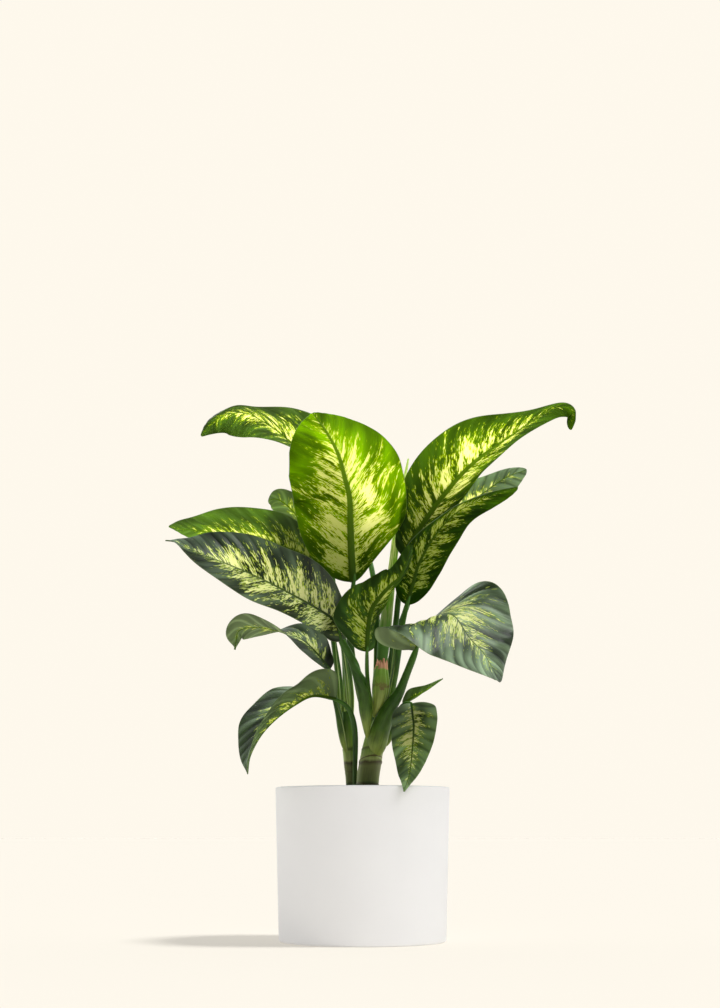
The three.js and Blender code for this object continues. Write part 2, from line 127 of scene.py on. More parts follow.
def node(tree, kind, inputs=(), **settings):
    """Adds a node, sets its settings, and sets each input or links it to a socket or to a node's result."""
    made = tree.nodes.new("ShaderNode" + kind)
    for key, value in settings.items():
        setattr(made, key, value)
    for key, value in dict(inputs).items():
        if isinstance(value, bpy.types.Node):
            value = next(socket for socket in value.outputs if socket.enabled)
        if isinstance(value, bpy.types.NodeSocket):
            tree.links.new(value, made.inputs[key])
        else:
            made.inputs[key].default_value = value
    return made


def spread(tree, value, least=0, most=1, low=0, high=1, smooth=False):
    """Takes a value from the range least to most into the range low to high."""
    return node(tree, "MapRange", {0: value, 1: least, 2: most, 3: low, 4: high},
                interpolation_type="SMOOTHSTEP" if smooth else "LINEAR")


def blend(tree, share, first, second, way="MIX"):
    """Mixes two colours, each a hex text or what a node gives."""
    first, second = (colour(part) if isinstance(part, str) else part for part in (first, second))
    return node(tree, "Mix", {0: share, 6: first, 7: second}, data_type="RGBA", blend_type=way)


def clouds(tree, scale, look):
    """Noise through the whole piece, with so many waves in a metre."""
    place = node(tree, "TexCoord").outputs["Object"]
    return node(tree, "TexNoise", {"Vector": place, "Scale": scale, **look})


def relief(tree, height, strength, deep):
    """Raises the surface where the height is more, by up to so many metres."""
    return node(tree, "Bump", {"Height": height, "Strength": strength, "Distance": deep})


# Matt-glazed earthenware: neutral white, an eggshell sheen, with faint clouding from the glaze and a
# dimpled surface. The dimples are real ones of under 1 mm, drawn at 2.5 mm so that they show.
glaze, tree = finish("matt_white_glaze")
cloud = clouds(tree, 18, {"Detail": 3})
bump = relief(tree, clouds(tree, 400, {"Detail": 2}), 0.12, 0.0004)
shader = node(tree, "BsdfPrincipled", {
    "Base Color": blend(tree, cloud, "#EAEAEC", "#F0F0F1"), "IOR": 1.5,
    "Roughness": spread(tree, cloud, 0, 1, 0.52, 0.64), "Normal": bump})
node(tree, "OutputMaterial", {0: shader})
pot.data.materials.append(glaze)
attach(pot, "root")
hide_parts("pot")


# Soil. Dark peaty potting soil with white perlite in it, filled to 20 mm below the rim and a little higher
# round the stems. Its top is crumbly, and it lies against the pot's wall.
SOIL_TOP, SOIL_RISE, SOIL_FOOT = 151 * mm, 3 * mm, 9.3 * mm
SOIL_OUT, SOIL_DEEP = 91.3 * mm, 86.8 * mm  # radius at the top and at the bottom
SOIL_FLAT = 4 * mm  # how near the wall the lumps die away and the loose crumbs end


def rows_and_columns(body):
    """The points of a grid primitive, row by row, from its lowest x and y."""
    flat = np.array([point.co[:] for point in body.data.vertices])
    return np.lexsort((flat[:, 0].round(6), flat[:, 1].round(6)))


def move_points(body, order, to):
    """Puts the grid's points, in that order, where they belong on the piece."""
    full = np.empty((len(body.data.vertices), 3))
    full[order] = np.asarray(to).reshape(-1, 3)
    body.data.vertices.foreach_set("co", full.ravel())
    body.data.update()


soil = begin("potting_soil_fill", bpy.ops.mesh.primitive_grid_add,
             x_subdivisions=110, y_subdivisions=110, size=2)
order = rows_and_columns(soil)
flat = np.array([point.co[:] for point in soil.data.vertices])[order]
x, y = flat[:, 0], flat[:, 1]
disc = np.stack([x * np.sqrt(1 - y * y / 2), y * np.sqrt(1 - x * x / 2)], -1) * SOIL_OUT
lump = [noise.noise((x / 0.011, y / 0.011, 1)) * 1.6 + noise.noise((x / 0.004, y / 0.004, 5)) * 0.9
        + abs(noise.noise((x / 0.0022, y / 0.0022, 9))) * 0.8 for x, y in disc]
rim = np.clip((SOIL_OUT - np.hypot(*disc.T)) / SOIL_FLAT, 0, 1)
height = SOIL_TOP + SOIL_RISE * (1 - (np.hypot(*disc.T) / SOIL_OUT) ** 2) + np.array(lump) * mm * rim
move_points(soil, order, np.column_stack([disc, height]))
bpy.ops.object.mode_set(mode="EDIT")
pick_open()
bpy.ops.mesh.extrude_region_move(TRANSFORM_OT_translate={"value": (0, 0, SOIL_FOOT - SOIL_TOP)})
bpy.ops.transform.resize(value=(SOIL_DEEP / SOIL_OUT, SOIL_DEEP / SOIL_OUT, 0))
bpy.ops.mesh.edge_face_add()
settle(60)

# Crumbs of peat and beads of white perlite lie loose in the top of the soil. One crumb is shaped, and the
# rest are copies of it, turned and sized at random, in one mesh with the soil. For each kind: how many there
# are, the least and the greatest size in mm, how flat they lie, and which material they have.
LOOSE = ((420, 0.8, 2.4, 0.7, 0), (90, 1.0, 2.2, 0.9, 1))
crumb = begin("crumb", bpy.ops.mesh.primitive_ico_sphere_add, subdivisions=1, radius=1)
shape = np.array([point.co[:] for point in crumb.data.vertices])
shape *= 1 + 0.25 * np.array([noise.noise(point.co * 1.7) for point in crumb.data.vertices])[:, None]
faces = [tuple(face.vertices) for face in crumb.data.polygons]
bpy.data.objects.remove(crumb)
chance = np.random.default_rng(4)
points, sides, slots = [], [], []
for count, least, most, flatter, slot in LOOSE:
    for _ in range(count):
        away, turn = (SOIL_OUT - SOIL_FLAT) * math.sqrt(chance.random()), chance.random() * 2 * math.pi
        at = np.array([away * math.cos(turn), away * math.sin(turn)])
        nearest = np.argmin(((disc - at) ** 2).sum(1))
        size = chance.uniform(least, most) * mm
        spin = np.linalg.qr(chance.normal(size=(3, 3)))[0]
        spin *= np.sign(np.linalg.det(spin))
        body = shape @ spin * size * chance.uniform(0.6, 1, 3) * (1, 1, flatter)
        first = sum(len(part) for part in points)
        points.append(body + (*at, height[nearest] + 0.2 * size))
        sides += [tuple(first + corner for corner in face) for face in faces]
        slots += [slot] * len(faces)
loose = bpy.data.meshes.new("crumbs")
loose.from_pydata(np.concatenate(points), [], sides)
loose.polygons.foreach_set("material_index", slots)
crumbs = bpy.data.objects.new("crumbs", loose)
bpy.context.scene.collection.objects.link(crumbs)


def ramp(tree, value, stops):
    """A run of colours, given as places from 0 to 1 and the colours there."""
    made = node(tree, "ValToRGB", {0: value})
    for spot, _ in stops[:-2]:
        made.color_ramp.elements.new(spot)
    for element, (spot, text) in zip(made.color_ramp.elements, stops):
        element.position, element.color = spot, colour(text)
    return made


# Damp peat: near black-brown and dull, lighter where crumbs have dried, with fibres too fine to model.
peat, tree = finish("damp_peat")
patch = clouds(tree, 160, {"Detail": 5, "Roughness": 0.7})
bump = relief(tree, clouds(tree, 900, {"Detail": 3, "Distortion": 1.5}), 0.9, 0.0012)
shader = node(tree, "BsdfPrincipled", {
    "Base Color": ramp(tree, patch, ((0.35, "#1C1510"), (0.72, "#4A3A2C"))), "Roughness": 0.95, "IOR": 1.4,
    "Normal": bump})
node(tree, "OutputMaterial", {0: shader})

# Perlite: puffed white glass, chalky and pitted.
perlite, tree = finish("chalky_perlite")
place = node(tree, "TexCoord").outputs["Object"]
pits = node(tree, "TexVoronoi", {"Vector": place, "Scale": 1200})
grime = clouds(tree, 300, {"Detail": 3})
bump = relief(tree, pits, 0.6, 0.0006)
shader = node(tree, "BsdfPrincipled", {
    "Base Color": blend(tree, grime, "#B9B1A2", "#EFECE4"), "Roughness": 0.9, "IOR": 1.5, "Normal": bump})
node(tree, "OutputMaterial", {0: shader})

for body in (soil, crumbs):
    body.data.materials.append(peat)
    body.data.materials.append(perlite)


def join(whole, *others):
    """Makes the pieces one mesh, under the first one's name."""
    bpy.ops.object.select_all(action="DESELECT")
    for part in (whole, *others):
        part.select_set(True)
    bpy.context.view_layer.objects.active = whole
    bpy.ops.object.join()


join(soil, crumbs)
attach(soil, "root")
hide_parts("soil")


# Canes. Two green stems grow from the soil, the main one thick, with a ring where each old leaf sat and a
# brown scar a little above the pot, and a thinner shoot on its left. They end inside the crown of stalks.
CANES = {
    "main_cane": ("cane_main", [[6, -12, 118], [6, -12, 174], [10, -12, 205], [14, -9, 226], [18, -5, 246],
                                [20, -1, 262]], [13, 13, 12.8, 12.5, 10.5, 6]),
    "left_shoot": ("cane_left", [[-12, 6, 118], [-12, 6, 175], [-14, 6, 197], [-16, 6, 219], [-18, 6, 243],
                                 [-20, 6, 258]], [6, 6, 7, 7.6, 7, 4]),
}
# Rings: height, how far each tilts over the stem, which way it tilts, and how strong it is
RINGS = {"main_cane": [(176, 2, 20, 0.7), (201.5, 5, 200, 1.0), (214, 2.5, 185, 0.6), (236, 4, 160, 0.5)],
         "left_shoot": [(190, 1.5, 0, 0.4), (214, 2, 90, 0.5)]}
SCAR = 0.9  # half width of a ring's corky line


def through(values, at):
    """Smooth values through a list of numbers or points, at 0 (the first) to 1 (the last)."""
    p = np.asarray(values, float)
    p = p.reshape(len(p), -1)
    last = len(p) - 1
    p = np.vstack([2 * p[0] - p[1], p, 2 * p[-1] - p[-2]])
    t = np.clip(np.asarray(at, float), 0, 1) * last
    i = np.minimum(t.astype(int), last - 1)
    f = (t - i)[:, None]
    a, b, c, d = p[i], p[i + 1], p[i + 2], p[i + 3]
    return 0.5 * (2 * b + (c - a) * f + (2 * a - 5 * b + 4 * c - d) * f**2 + (3 * b - a - 3 * c + d) * f**3)


def along(line, share):
    """Where on a line, 0 to 1, the given shares of its length lie, and the length."""
    steps = np.linspace(0, 1, 201)
    gone = np.linalg.norm(np.diff(through(line, steps), axis=0), axis=1)
    gone = np.concatenate([[0], np.cumsum(gone)])
    return np.interp(np.asarray(share) * gone[-1], gone, steps), gone[-1]


def unit(v):
    """The directions, each made one long."""
    return v / np.maximum(np.linalg.norm(v, axis=-1, keepdims=True), 1e-12)


def heading(line, t):
    """Which way a line runs at those places."""
    return unit(through(line, t + 1e-4) - through(line, t - 1e-4))


def square(way, ahead):
    """The directions, turned square to where the line runs."""
    return unit(way - (way * ahead).sum(1, keepdims=True) * ahead)


def lay(name, skin, run, share):
    """A grid primitive laid over the skin's rows of points in mm, with two UV maps: run, how far along and
    across the piece a point lies in units of 100 mm, and share, how far as parts of the whole."""
    body = begin(name, bpy.ops.mesh.primitive_grid_add, x_subdivisions=skin.shape[1] - 1,
                 y_subdivisions=skin.shape[0] - 1, size=1)
    order = rows_and_columns(body)
    move_points(body, order, skin * mm)
    place = np.empty(len(order), int)
    place[order] = np.arange(len(order))
    corner = np.empty(len(body.data.loops), int)
    body.data.loops.foreach_get("vertex_index", corner)
    for title, values in (("run", run), ("share", share)):
        values = np.stack(np.broadcast_arrays(*values), -1).reshape(-1, 2)
        body.data.uv_layers.new(name=title).data.foreach_set("uv", values[place[corner]].ravel())
    for spare in [layer for layer in body.data.uv_layers if layer.name not in ("run", "share")]:
        body.data.uv_layers.remove(spare)
    return body, place


def stalk(name, line, r, inward, section, around=32, gap=2.2):
    """A stem: a grid rolled round a centre line in mm, its seam closed on the side that faces inward, and
    its ends filled. section(share, length, angle) gives how far out the skin is, as a part of the radius."""
    long = along(line, [0])[1]
    share = np.linspace(0, 1, max(8, round(long / gap)) + 1)
    t, _ = along(line, share)
    ahead = heading(line, t)
    inner = square(through(inward, share), ahead)
    side = np.cross(ahead, inner)
    angle = np.linspace(0, 2 * np.pi, around + 1)
    wide = through(r, share) * section(share[:, None], share[:, None] * long, angle[None])
    skin = through(line, t)[:, None] + wide[..., None] * (
        np.cos(angle)[None, :, None] * inner[:, None] + np.sin(angle)[None, :, None] * side[:, None])
    body, _ = lay(name, skin, (share[:, None] * long / 100, angle[None] * wide.mean() / 100),
                  (angle[None] / (2 * np.pi), share[:, None]))
    bpy.ops.object.mode_set(mode="EDIT")
    bpy.ops.mesh.select_all(action="SELECT")
    bpy.ops.mesh.remove_doubles(threshold=1e-5)
    pick_open()
    bpy.ops.mesh.fill_holes(sides=0)
    settle(60)
    return body


def reckon(tree, how, *values):
    """Does a sum with numbers or what nodes give."""
    return node(tree, "Math", dict(enumerate(values)), operation=how)


def grain(tree, run, stretch, look):
    """Noise that follows a piece, with so many waves in 100 mm along it and across it."""
    place = node(tree, "VectorMath", {0: run, 1: (*stretch, 1)}, operation="MULTIPLY")
    return node(tree, "TexNoise", {"Vector": place, "Scale": 1, **look})


# Living bark: smooth, green and slightly waxy, olive-brown where it is old near the soil and pale where a
# sheath covered it, with a brown corky line at each ring and fine lengthwise streaks of about 1 mm.
bark, tree = finish("green_cane_bark")
streak = grain(tree, node(tree, "UVMap", uv_map="run"), (6, 90), {"Detail": 4, "Roughness": 0.6})
blotch = clouds(tree, 90, {"Detail": 4})
up = node(tree, "SeparateXYZ", {0: node(tree, "TexCoord").outputs["Object"]}).outputs[2]
up = reckon(tree, "ADD", up, reckon(tree, "MULTIPLY", blotch, 0.006))
shade = ramp(tree, spread(tree, up, 0.171, 0.271), (
    (0.00, "#2C4216"), (0.07, "#3A5220"), (0.10, "#6B7A38"), (0.27, "#727C40"), (0.31, "#4A4420"),
    (0.345, "#A0B262"), (0.44, "#86A24A"), (0.475, "#5E7030"), (0.50, "#90AA50"), (0.66, "#6E8C38"),
    (0.80, "#44681F"), (1.00, "#35581A")))
base = blend(tree, 1, shade, spread(tree, streak, 0.3, 0.75, 0.72, 1.2), "MULTIPLY")
scar = node(tree, "Attribute", attribute_name="scar").outputs["Fac"]
bump = relief(tree, streak, 0.25, 0.0005)
shader = node(tree, "BsdfPrincipled", {
    "Base Color": blend(tree, scar, base, "#4A2C1A"), "Roughness": spread(tree, blotch, 0, 1, 0.34, 0.52),
    "IOR": 1.45, "Normal": bump,
    "Subsurface Weight": 0.1, "Subsurface Radius": (0.004, 0.006, 0.002), "Subsurface Scale": 0.5})
node(tree, "OutputMaterial", {0: shader})

for name, (stands_for, line, r) in CANES.items():
    rings = RINGS[name]
    base = line[0][2]

    def ringed(share, length, angle):
        """A cane's section: a swelling below each ring, and a crease in it."""
        out = 1 + 0.012 * np.sin(3 * angle + share * 9) + 0.01 * np.sin(5 * angle - share * 17)
        for high, tilt, toward, strong in rings:
            level = high + tilt * np.cos(angle - math.radians(toward)) - base
            out = out + strong * (0.05 * np.exp(-((length - level + 1.6) / 1.7) ** 2)
                                  - 0.05 * np.exp(-((length - level) / 0.7) ** 2))
        return out

    cane = stalk(name, line, r, [[0, 1, 0], [0, 1, 0]], ringed, around=64, gap=0.8)
    worn = cane.data.attributes.new("scar", "FLOAT", "POINT")
    for point, value in zip(cane.data.vertices, worn.data):
        x, y, z = point.co / mm
        centre = through(line, along(line, [(z - base) / (line[-1][2] - base)])[0])[0]
        turn = math.atan2(centre[0] - x, y - centre[1])
        for high, tilt, toward, strong in rings:
            off = z - high - tilt * math.cos(turn - math.radians(toward))
            rough = 1 + 0.6 * noise.noise((x / 4, y / 4, z / 9))
            value.value = max(value.value, strong ** 1.5 * math.exp(-(off / (SCAR * rough)) ** 2))
    cane.data.materials.append(bark)
    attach(cane, "root")
    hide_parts(stands_for)


# Leaves. Each is one living piece: a fleshy stalk whose foot clasps the cane like a gutter, a midrib that
# stands out below, and a thin waxy blade marked with cream streaks that follow its side veins.
# stalk, r: centre line and radii of the stalk. rib: the midrib from the foot of the blade to its tip.
# face: where the upper face looks at each rib point. half: half widths left and right of the rib. fold and
# curl: how many degrees each half rises from the rib, and bends on towards its edge (not at all where there
# is none). wave: height, count and phase of the waves along the edges. All lengths in mm. looks: how much
# cream it has, how far out the cream reaches, how deep its green is below, how much painted grey sheen its
# upper face has, how bright the painted light through it is (dim for a leaf in shade, bright for one lit
# from behind), how wide its midrib is, and how high its side veins quilt the blade.
LEAVES = {
    "leaf_mid_right": dict(
        stalk=[[13, -15, 206], [18, -17, 226], [24, -20, 245], [32, -23, 262], [42, -26, 278],
        [51, -28, 300]], r=[11, 11, 9.8, 7.5, 5.4, 4.6],
        rib=[[60, -31, 326], [68, -51, 347], [85, -78, 360], [102, -98, 356], [118, -101, 332],
        [134, -108, 312], [151, -107, 282]],
        face=[[-0.9, 0.1, 0.4], [-0.7, 0.2, 0.7], [-0.4, -0.2, 0.9], [0.1, -0.7, 0.7], [0.3, -0.8, 0.5],
        [0.4, -0.8, 0.4], [0.7, -0.6, 0.5]],
        half=[[34, 59, 75, 80, 74, 66, 51, 33, 15], [26, 54, 68, 76, 76, 62, 48, 33, 16]],
        fold=[[10, 33], [-10, -4], [0, 16]], curl=[[-6, 13], [35, 14], [-17, 4]], wave=[1, 2, 0],
        looks=(-0.16, 0.72, 0.25, 0.42, 0.1, 0.5, 1.9)),
    "leaf_mid_left": dict(
        stalk=[[5, -20, 232], [4, -24, 252], [1, -28, 280], [-5, -31, 297], [-11, -34, 312],
        [-18, -37, 325]], r=[5, 7.6, 7.4, 7, 6, 4.6],
        rib=[[-24, -40, 336], [-32, -46, 357], [-51, -52, 370], [-93, -70, 391], [-132, -86, 408],
        [-182, -104, 426], [-207, -110, 437], [-220, -112, 439]],
        face=[[0, -1, -0.3], [0.2, -1, -0.2], [0.4, -0.9, 0.1], [0.5, -0.8, 0.3], [0.5, -0.8, 0.4],
        [0.5, -0.6, 0.6], [0.4, -0.3, 0.9], [0.1, 0, 1]],
        half=[[17, 28, 37, 44, 47, 44, 32, 20, 7], [14, 22, 38, 47, 45, 43, 37, 23, 8]],
        fold=[[30, 30], [15, 20], [5, 5]], curl=[[20, 20], [10, 10], [-5, -5]], wave=[1, 3, 1],
        looks=(-0.04, 0.8, 0.8, 0.16, 0.05, 0.6, 1.3)),
    "leaf_small_front": dict(
        stalk=[[11, -16, 258], [8, -25, 274], [6, -37, 289], [5, -51, 302]], r=[2.6, 2.4, 2.4, 2.4],
        rib=[[4, -66, 320], [6, -70, 345], [10, -73, 366], [20, -76, 381], [32, -77, 394], [42, -78, 403],
        [50, -79, 420], [56, -80, 440]],
        face=[[-0.7, 0.7, 0.2], [-0.7, 0.7, 0.2], [-0.3, 0.9, 0.3], [-0.1, 0.9, 0.3], [-0.2, 0.9, 0.3],
        [-0.3, 0.9, 0.3], [-0.3, 0.9, 0.2], [-0.3, 0.9, 0.1]],
        half=[[15, 23, 30, 33, 31, 26, 19, 12, 6], [14, 25, 39, 39, 30, 21, 14, 10, 6]],
        fold=[[10, 10], [60, 45], [50, 45]], wave=[0.8, 3, 2],
        looks=(-0.08, 0.74, 0.95, 0.25, 0.55, 0.9, 0.9)),
    "leaf_top_front": dict(
        stalk=[[4, -2, 250], [-3, -6, 282], [-12, -12, 322], [-15, -20, 356]], r=[5, 4.6, 4.2, 3.8],
        rib=[[-11, -30, 405], [-13, -36, 437], [-14, -43, 468], [-15, -51, 500], [-20, -56, 521],
        [-28, -62, 549], [-42, -66, 575], [-58, -66, 598]],
        face=[[-0.5, 0.9, 0.1], [-0.3, 0.9, 0.2], [-0.1, 1, 0.2], [0, 1, 0.2], [0.1, 1, 0.2], [-0.1, 1, 0.1],
        [-0.3, 1, -0.1], [-0.4, 0.9, -0.3]],
        half=[[17, 34, 51, 66, 67, 66, 50, 33, 15], [20, 39, 53, 63, 67, 64, 58, 46, 25]],
        fold=[[20, 15], [5, 5], [5, 0]], curl=[[15, 10], [5, 10], [15, 5]], wave=[1.2, 3, 0],
        looks=(0.1, 0.81, 1.0, 0.1, 1.0, 1.4, 1.2)),
    "leaf_rolled": dict(
        stalk=[[20, -1, 252], [21, -1, 290], [23, 0, 323], [29, 3, 377], [35, 4, 425], [41, 3, 473],
        [48, 1, 521], [55, 0, 559]], r=[5.5, 5.5, 7.5, 6.5, 5, 4.5, 3, 0.9]),
    "leaf_top_right": dict(
        stalk=[[26, 4, 250], [30, 12, 283], [34, 13, 313], [37, 12, 342], [42, 8, 389]],
        r=[5, 4.4, 4.4, 4, 3.6],
        rib=[[49, 4, 441], [59, -2, 460], [95, -20, 509], [130, -38, 545], [180, -56, 579], [221, -66, 604],
        [244, -72, 599], [241, -74, 576]],
        face=[[-0.8, 0.2, 0.5], [-0.6, 0.6, 0.6], [-0.4, 0.7, 0.6], [-0.4, 0.5, 0.8], [-0.5, 0.2, 0.8],
        [-0.3, 0.1, 0.9], [0.8, 0.2, 0.5], [0.7, 0.7, -0.2]],
        half=[[16, 31, 45, 51, 51, 45, 32, 14, 7], [15, 27, 44, 53, 54, 47, 30, 17, 8]],
        fold=[[25, 25], [20, 25], [-15, -15]], curl=[[10, 10], [0, 5], [-25, -25]], wave=[1.2, 3, 1],
        looks=(-0.07, 0.78, 0.95, 0.2, 0.46, 1.1, 1.0)),
    "leaf_upper_right": dict(
        stalk=[[28, -4, 246], [34, 1, 283], [38, 0, 304], [42, -3, 329], [47, -9, 361]],
        r=[5, 4.6, 4.4, 4, 3.6],
        rib=[[51, -14, 381], [58, -17, 404], [66, -20, 430], [84, -25, 461], [110, -31, 488],
        [145, -40, 504], [181, -47, 514]],
        face=[[-0.6, 0.8, 0.3], [-0.6, 0.8, 0.3], [-0.6, 0.7, 0.4], [-0.6, 0.6, 0.5], [-0.5, 0.4, 0.8],
        [-0.3, 0.3, 0.9], [-0.2, 0.2, 1]],
        half=[[13, 25, 34, 38, 38, 32, 27, 19, 9], [13, 24, 32, 34, 31, 26, 19, 12, 5]],
        fold=[[4, 8], [-2, -10], [-3, -3]], curl=[[-7, -3], [-11, -15], [-14, -14]], wave=[1, 3, 0],
        looks=(-0.1, 0.8, 1.0, 0.2, 0.4, 0.8, 1.0)),
    "leaf_bottom_right": dict(
        stalk=[[28, -6, 222], [34, -8, 240], [40, -12, 255], [48, -18, 264]], r=[4.6, 4, 3.4, 3],
        rib=[[56, -24, 265], [57, -31, 252], [58, -42, 238], [56, -64, 216], [52, -86, 186],
        [45, -106, 164]],
        face=[[0, -0.9, 0.5], [-0.1, -0.8, 0.5], [-0.1, -0.7, 0.7], [-0.1, -0.7, 0.6], [-0.1, -0.8, 0.6],
        [-0.1, -0.7, 0.7]],
        half=[[17, 28, 29, 27, 24, 18, 11, 5, 2], [12, 22, 25, 25, 23, 18, 13, 6, 2]],
        fold=[[20, 16], [14, 2], [12, 0]], curl=[[2, 0], [-3, -12], [-9, -15]], wave=[0.8, 2, 0],
        looks=(-0.03, 0.62, 0.5, 0.48, 0.9, 0.45, 0.9)),
    "leaf_narrow_right": dict(
        stalk=[[22, 2, 224], [30, 7, 238], [37, 10, 251], [42, 11, 260]], r=[4, 3.6, 3, 2.4],
        rib=[[47, 12, 267], [58, 16, 276], [74, 20, 284], [95, 26, 298]],
        face=[[-0.7, 0.4, 0.6], [-0.6, 0.4, 0.7], [-0.5, 0.2, 0.8], [-0.5, 0.1, 0.8]],
        half=[[4, 8, 12, 13, 13, 11, 8, 5, 2], [4, 8, 13, 13, 12, 10, 7, 4, 1]],
        fold=[[15, 20], [10, 10], [10, 10]], wave=[0.5, 2, 0], looks=(-0.3, 0.3, 0.8, 0.2, 0.3, 0.6, 0.2)),
    "leaf_back": dict(
        stalk=[[16, 8, 250], [17, 18, 284], [18, 28, 332], [16, 40, 394], [12, 52, 430]],
        r=[4.6, 4.6, 4.2, 3.8, 3.4],
        rib=[[4, 70, 466], [-5, 92, 505], [-14, 118, 541], [-22, 150, 574], [-27, 182, 597],
        [-30, 212, 604]],
        face=[[0, -0.7, 0.7], [0, -0.7, 0.7], [0, -0.6, 0.8], [0, -0.5, 0.9], [0, -0.3, 0.9], [0, 0, 1]],
        half=[[16, 32, 44, 52, 52, 46, 36, 24, 10], [16, 32, 44, 52, 52, 46, 36, 24, 10]],
        fold=[[10, 10], [10, 10], [5, 5]], curl=[[-5, -5], [-5, -5], [-5, -5]], wave=[3, 3, 0],
        looks=(0.06, 0.76, 0.7, 0.2, 0.6, 1.0, 0.9)),
    "leaf_back_right": dict(
        stalk=[[23, 9, 252], [27, 22, 290], [35, 27, 325], [45, 26, 362]], r=[4.6, 4.6, 4, 3.4],
        rib=[[56, 28, 392], [69, 36, 434], [89, 40, 475], [114, 36, 499], [148, 24, 523], [174, 13, 539],
        [197, 4, 546]],
        face=[[-0.3, -0.9, 0.3], [-0.3, -0.9, 0.2], [-0.3, -0.9, 0.2], [-0.5, -0.8, 0.3], [-0.5, -0.8, 0.3],
        [-0.5, -0.8, 0.3], [-0.4, -0.8, 0.4]],
        half=[[10, 17, 23, 29, 29, 26, 17, 11, 6], [3, 8, 15, 22, 24, 22, 23, 21, 9]],
        fold=[[27, 21], [41, 25], [-2, -18]], wave=[1, 2, 0], looks=(0.0, 0.72, 0.5, 1.6, 0.1, 0.6, 0.8)),
    "leaf_bottom_left": dict(
        stalk=[[-8.5, -5.5, 122], [-8.5, -5.5, 177], [-8, -6, 213], [-9, -10, 238], [-13, -14, 254],
        [-20, -17, 264]], r=[2.4, 2.4, 2.8, 3.2, 3.4, 3],
        rib=[[-31, -20, 271], [-57, -30, 274], [-78, -38, 263], [-99, -46, 246], [-115, -52, 227],
        [-126, -56, 204], [-128, -58, 184]],
        face=[[0, 0.4, 0.9], [-0.2, 0.1, 1], [-0.5, -0.2, 0.8], [-0.6, -0.2, 0.7], [-0.8, -0.3, 0.6],
        [-0.9, -0.3, 0.3], [-1, -0.1, 0.1]],
        half=[[19, 36, 45, 48, 49, 44, 32, 19, 6], [15, 29, 40, 46, 49, 44, 31, 16, 5]],
        fold=[[30, 25], [25, 30], [15, 15]], wave=[1, 3, 0], looks=(-0.27, 0.58, 0.5, 0.22, 0.3, 0.7, 1.2)),
    "leaf_low_left": dict(
        stalk=[[-19, 1, 214], [-24, -1, 237], [-28, -3, 257], [-32, -5, 273], [-34, -7, 288]],
        r=[4.6, 5, 4.2, 3.4, 3],
        rib=[[-38, -8, 306], [-52, -12, 322], [-69, -18, 338], [-94, -26, 348], [-120, -34, 352],
        [-142, -40, 347], [-146, -42, 325]],
        face=[[0.5, -0.9, 0.2], [0.6, -0.7, 0.4], [0.6, -0.5, 0.7], [0.3, -0.1, 1], [-0.1, 0.2, 1],
        [-0.7, 0.5, 0.5], [-0.6, 0.8, 0.1]],
        half=[[9, 18, 26, 31, 34, 32, 26, 15, 2], [9, 15, 27, 37, 35, 31, 22, 10, 2]],
        fold=[[35, 40], [-5, -5], [10, 10]], wave=[1, 2, 1], looks=(-0.14, 0.52, 0.0, 0.22, 0.05, 0.6, 0.8)),
    "leaf_upper_left": dict(
        stalk=[[-24, 9, 240], [-26, 14, 270], [-28, 18, 300], [-34, 23, 344], [-40, 26, 392]],
        r=[4.4, 4.2, 4, 3.6, 3.2],
        rib=[[-49, 28, 433], [-81, 36, 452], [-122, 46, 468], [-168, 54, 478], [-205, 60, 483],
        [-238, 64, 488]],
        face=[[0.4, 0.8, 0.4], [0.4, 0.7, 0.5], [0.3, 0.6, 0.7], [0.2, 0.5, 0.8], [0.2, 0.4, 0.9],
        [0.2, 0.3, 0.9]],
        half=[[14, 27, 39, 46, 50, 42, 33, 20, 7], [13, 26, 38, 46, 49, 44, 33, 19, 5]],
        fold=[[10, 5], [0, 0], [0, 0]], wave=[2, 3, 2], looks=(-0.06, 0.58, 0.8, 0.2, 0.5, 0.8, 1.7)),
    "leaf_top_left": dict(
        stalk=[[-13, 14, 240], [-15, 21, 284], [-21, 28, 332], [-32, 36, 387], [-37, 40, 443]],
        r=[4.4, 4.4, 4.2, 3.8, 3.4],
        rib=[[-39, 44, 505], [-59, 50, 559], [-89, 54, 594], [-120, 58, 619], [-149, 62, 633],
        [-180, 66, 627], [-201, 68, 604]],
        face=[[0.9, 0.4, 0.3], [0.8, 0.3, 0.4], [0.7, 0.2, 0.7], [0.6, 0.1, 0.8], [0.1, 0.2, 1],
        [-0.4, 0.4, 0.8], [-0.4, 0.8, 0.5]],
        half=[[16, 33, 51, 63, 66, 56, 41, 25, 10], [16, 33, 49, 60, 64, 57, 38, 20, 6]],
        fold=[[45, 45], [10, 15], [-25, -30]], curl=[[25, 25], [-10, -5], [-40, -45]], wave=[1.2, 3, 0],
        looks=(-0.05, 0.7, 0.75, 0.2, 0.34, 0.7, 1.1)),
    "leaf_small_left": dict(
        stalk=[[-17, 16, 244], [-19, 25, 273], [-22, 36, 333], [-34, 46, 389], [-44, 52, 420]],
        r=[4, 4, 3.6, 3, 2.6],
        rib=[[-46, 58, 439], [-62, 62, 471], [-77, 64, 497], [-91, 60, 513], [-105, 54, 521],
        [-115, 48, 518]],
        face=[[0.9, 0.2, 0.4], [0.8, 0.3, 0.4], [0.7, 0.5, 0.5], [0.4, 0.6, 0.7], [-0.1, 0.6, 0.8],
        [-0.5, 0.6, 0.6]],
        half=[[9, 17, 26, 31, 33, 30, 22, 16, 7], [9, 17, 26, 31, 33, 31, 25, 16, 7]],
        fold=[[5, 5], [5, 10], [5, 5]], wave=[1.5, 2, 0], looks=(-0.14, 0.6, 0.12, 0.2, 0.15, 0.7, 1.4)),
}
BLADE, RIB_WIDE, RIB_DEEP = 0.9, 3.4, 2.6
RIB_END, RIB_SUNK = 0.8, 0.6  # half width of the midrib at the tip, and how deep it lies in the upper face
VEIN_GAP, VEIN_STRAY = 15.0, 4  # between side veins along the midrib, and how far they stray
